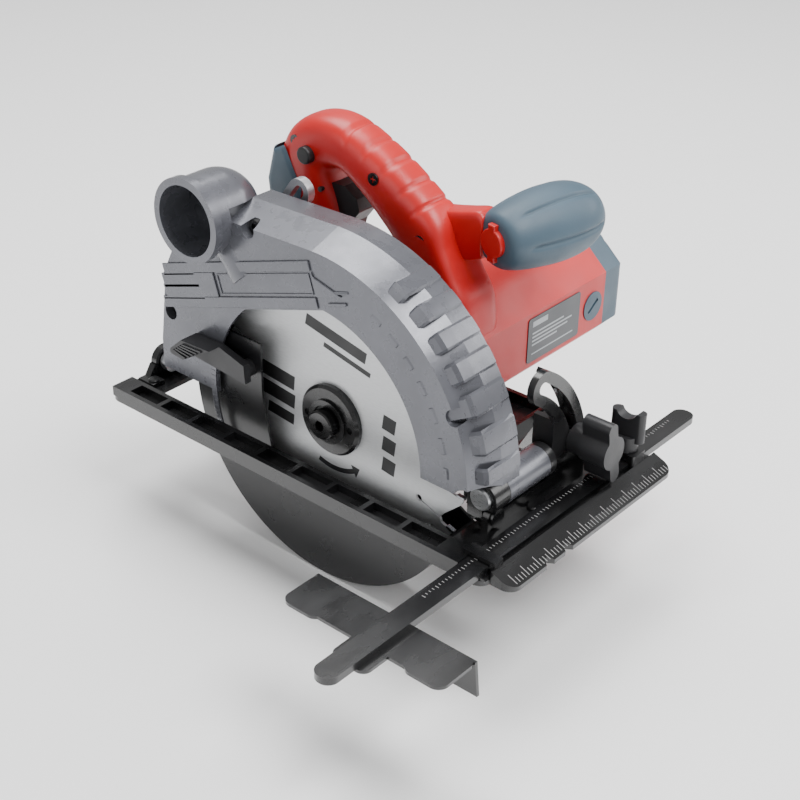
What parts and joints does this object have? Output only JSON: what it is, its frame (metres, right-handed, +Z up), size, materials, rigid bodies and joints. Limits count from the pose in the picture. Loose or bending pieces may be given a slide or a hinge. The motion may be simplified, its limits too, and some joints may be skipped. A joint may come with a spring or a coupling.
{
  "type": "circular saw",
  "caption": "Hand-held corded circular saw: bevelling sole with window and side fence, hinged depth setting, fixed and swinging blade guards, geared motor, D-handle and front knob.",
  "frame": {"origin": "on the sole's underside, straight below the spindle, in the middle plane of the blade", "axes": "+X is the cutting direction, +Y points to the motor, +Z is up"},
  "size_m": [0.316, 0.341, 0.2404],
  "materials": {
    "blade_steel": "brushed with printed bands",
    "carbide": "ground",
    "black_steel": "semi-gloss black",
    "steel": "machined",
    "zinc_steel": "plated",
    "guard_alloy": "silver-grey metallic",
    "case_alloy": "die cast",
    "lower_steel": "charcoal gloss",
    "black_plastic": "matte",
    "red_plastic": "satin red",
    "blue_grey": "soft blue-grey",
    "label_grey": "printed, no text",
    "copper": "enamelled copper",
    "lamination": "stacked",
    "carbon": "carbon",
    "brass": "plain",
    "spring_steel": "wire",
    "blue_grey_cap": "satin blue-grey",
    "lever_plastic": "ribbed"
  },
  "bodies": {
    "base": {"base_plate": "black_steel", "base_rivets": "black_steel", "bevel_quadrant": "black_steel", "rear_pivot_bracket": "black_steel", "bevel_pivot_pins": "black_steel", "bar_clamp_block": "black_steel"},
    "tilt_frame": {"tilt_bracket": "black_steel", "depth_hinge_pin": "steel", "bevel_stud": "zinc_steel", "depth_arc": "zinc_steel"},
    "saw_body": {"upper_guard": "guard_alloy", "gear_case": "case_alloy", "hub_retaining_ring": "zinc_steel", "motor_housing": "red_plastic", "motor_end_cap": "blue_grey_cap", "field_core": "lamination", "field_coils": "copper", "brush_holders": "brass", "brush_springs": "spring_steel", "brush_caps": "black_plastic", "carbon_brushes": "carbon", "spindle_bearings": "steel", "armature_bearings": "steel", "air_baffle": "black_plastic", "rating_plate": "label_grey", "dust_port": "guard_alloy", "handle_right": "red_plastic", "handle_left": "red_plastic", "rear_grip": "blue_grey", "switch_module": "black_plastic", "cable_gland": "black_plastic", "front_knob": "blue_grey", "front_knob_cap": "red_plastic", "guard_screws": "black_steel", "housing_screws": "black_steel", "depth_bolt": "zinc_steel", "guard_return_spring": "spring_steel"},
    "blade_group": {"blade": "blade_steel", "carbide_tips": "carbide", "inner_flange": "steel", "outer_flange": "black_steel", "blade_bolt": "black_steel", "spindle": "steel", "output_gear": "steel"},
    "armature": {"armature_shaft": "steel", "armature_core": "lamination", "armature_windings": "copper", "commutator": "copper", "cooling_fan": "black_plastic"},
    "lower_guard_group": {"lower_guard": "lower_steel", "guard_lever": "lever_plastic"},
    "trigger_body": {"trigger": "black_plastic"},
    "lock_off": {"lock_off_button": "black_plastic"},
    "spindle_lock": {"spindle_lock_button": "black_plastic"},
    "depth_clamp": {"depth_lever": "black_plastic"},
    "bevel_clamp": {"bevel_knob": "black_plastic"},
    "fence": {"guide_bar": "black_steel", "fence_plate": "black_steel", "fence_rivets": "black_steel"},
    "bar_clamp": {"bar_clamp_knob": "black_plastic"}
  },
  "joints": [
    {"name": "bevel_tilt", "type": "hinge", "parent": "base", "child": "tilt_frame", "pos_m": [0, 0.002, 0.012], "axis": [1, 0, 0], "range_deg": [0, 45]},
    {"name": "depth_swing", "type": "hinge", "parent": "tilt_frame", "child": "saw_body", "pos_m": [0.105, 0.02, 0.024], "axis": [0, 1, 0], "range_deg": [0, 38]},
    {"name": "blade_spin", "type": "hinge", "parent": "saw_body", "child": "blade_group", "pos_m": [0, 0, 0.0275], "axis": [0, 1, 0], "continuous": true},
    {"name": "armature_spin", "type": "hinge", "parent": "saw_body", "child": "armature", "pos_m": [0.01299, 0, 0.05321], "axis": [0, 1, 0], "continuous": true},
    {"name": "lower_guard_swing", "type": "hinge", "parent": "saw_body", "child": "lower_guard_group", "pos_m": [0, 0, 0.0275], "axis": [0, 1, 0], "range_deg": [0, 95], "stiffness_Nm_per_rad": 0.25, "springref_deg": -68.75, "deforming": ["guard_return_spring"]},
    {"name": "trigger_pull", "type": "hinge", "parent": "saw_body", "child": "trigger_body", "pos_m": [-0.0545, 0.062, 0.131], "axis": [0, 1, 0], "range_deg": [0, 8], "stiffness_Nm_per_rad": 0.6, "springref_deg": -8.59},
    {"name": "lock_off_press", "type": "slide", "parent": "saw_body", "child": "lock_off", "axis": [0, 1, 0], "range_m": [0, 0.003], "stiffness_N_per_m": 300, "springref_m": -0.002},
    {"name": "spindle_lock_press", "type": "slide", "parent": "saw_body", "child": "spindle_lock", "axis": [0, -1, 0], "range_m": [0, 0.003], "stiffness_N_per_m": 400, "springref_m": -0.002},
    {"name": "depth_lever_turn", "type": "hinge", "parent": "saw_body", "child": "depth_clamp", "pos_m": [-0.08499, 0.03, 0.02234], "axis": [0, 1, 0], "range_deg": [0, 60]},
    {"name": "bevel_knob_turn", "type": "hinge", "parent": "tilt_frame", "child": "bevel_clamp", "pos_m": [0.1, 0.06992, 0.02893], "axis": [1, 0, 0], "range_deg": [-90, 180]},
    {"name": "fence_slide", "type": "slide", "parent": "base", "child": "fence", "axis": [0, 1, 0], "range_m": [-0.05, 0.047]},
    {"name": "bar_clamp_turn", "type": "hinge", "parent": "base", "child": "bar_clamp", "pos_m": [0.1245, 0.1, 0.02], "axis": [0, 0, 1], "range_deg": [-180, 180]}
  ],
  "couplings": [
    {"joint": "armature_spin", "follows": "blade_spin", "ratio": -4.3333}
  ]
}
